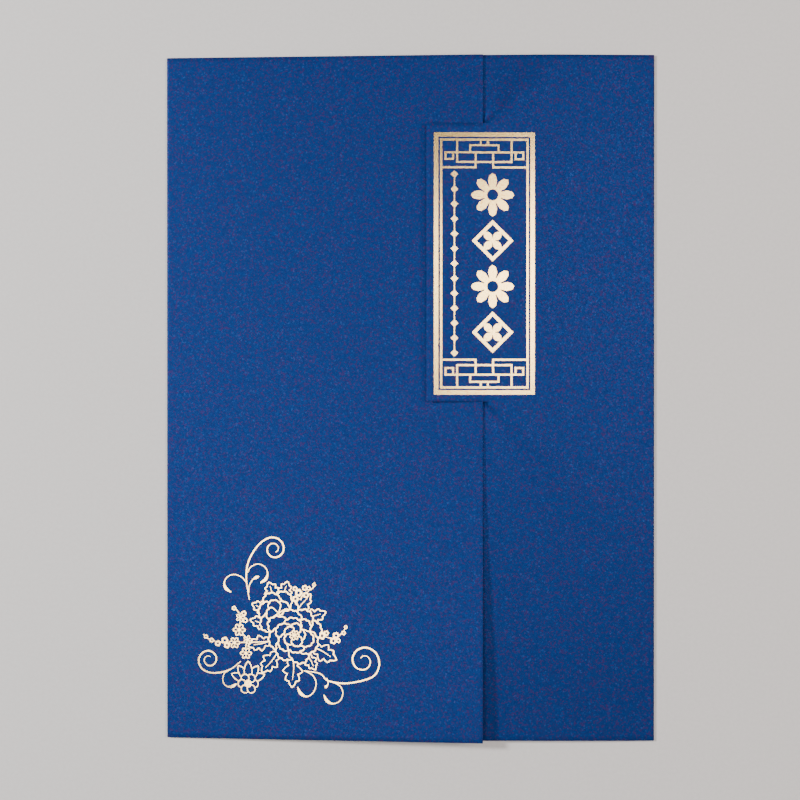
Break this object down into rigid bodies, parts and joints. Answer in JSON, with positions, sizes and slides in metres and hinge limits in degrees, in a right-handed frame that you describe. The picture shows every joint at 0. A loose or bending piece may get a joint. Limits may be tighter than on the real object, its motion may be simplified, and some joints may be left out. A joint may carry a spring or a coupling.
{
  "type": "certificate folder",
  "caption": "Closed gate-fold certificate folder of pearlescent navy card, with a tab over the wide cover, a foil lattice label and a foil peony ornament",
  "frame": {"origin": "bottom centre of the closed folder's box, on the plane that its back lies on", "axes": "+X across the folder from the wide left cover's fold to the right fold, +Y towards its top edge, +Z out of its front"},
  "size_m": [0.22, 0.308, 0.0103],
  "materials": {
    "pearl_card": "deep blue pearlescent card, dyed through, faintly speckled",
    "gold_foil": "pale gold hot-stamped foil, satin"
  },
  "bodies": {
    "base": {"base_card": "pearl_card", "closure_tab": "pearl_card", "label_band_foil": "gold_foil", "label_frame_foil": "gold_foil", "label_chain_foil": "gold_foil", "label_motif_1_foil": "gold_foil", "label_motif_2_foil": "gold_foil", "label_motif_3_foil": "gold_foil", "label_motif_4_foil": "gold_foil"},
    "left_cover": {"left_cover": "pearl_card", "peony_foil": "gold_foil", "rosette_foil": "gold_foil", "scroll_upper_foil": "gold_foil", "scroll_left_foil": "gold_foil", "scroll_right_foil": "gold_foil"}
  },
  "joints": [
    {"name": "left_cover_hinge", "type": "hinge", "parent": "base", "child": "left_cover", "pos_m": [-0.10925, 0, 0.00075], "axis": [0, -1, 0], "range_deg": [0, 176], "deforming": ["closure_tab", "label_band_foil", "label_frame_foil", "label_chain_foil", "label_motif_1_foil", "label_motif_2_foil", "label_motif_3_foil", "label_motif_4_foil"]}
  ]
}
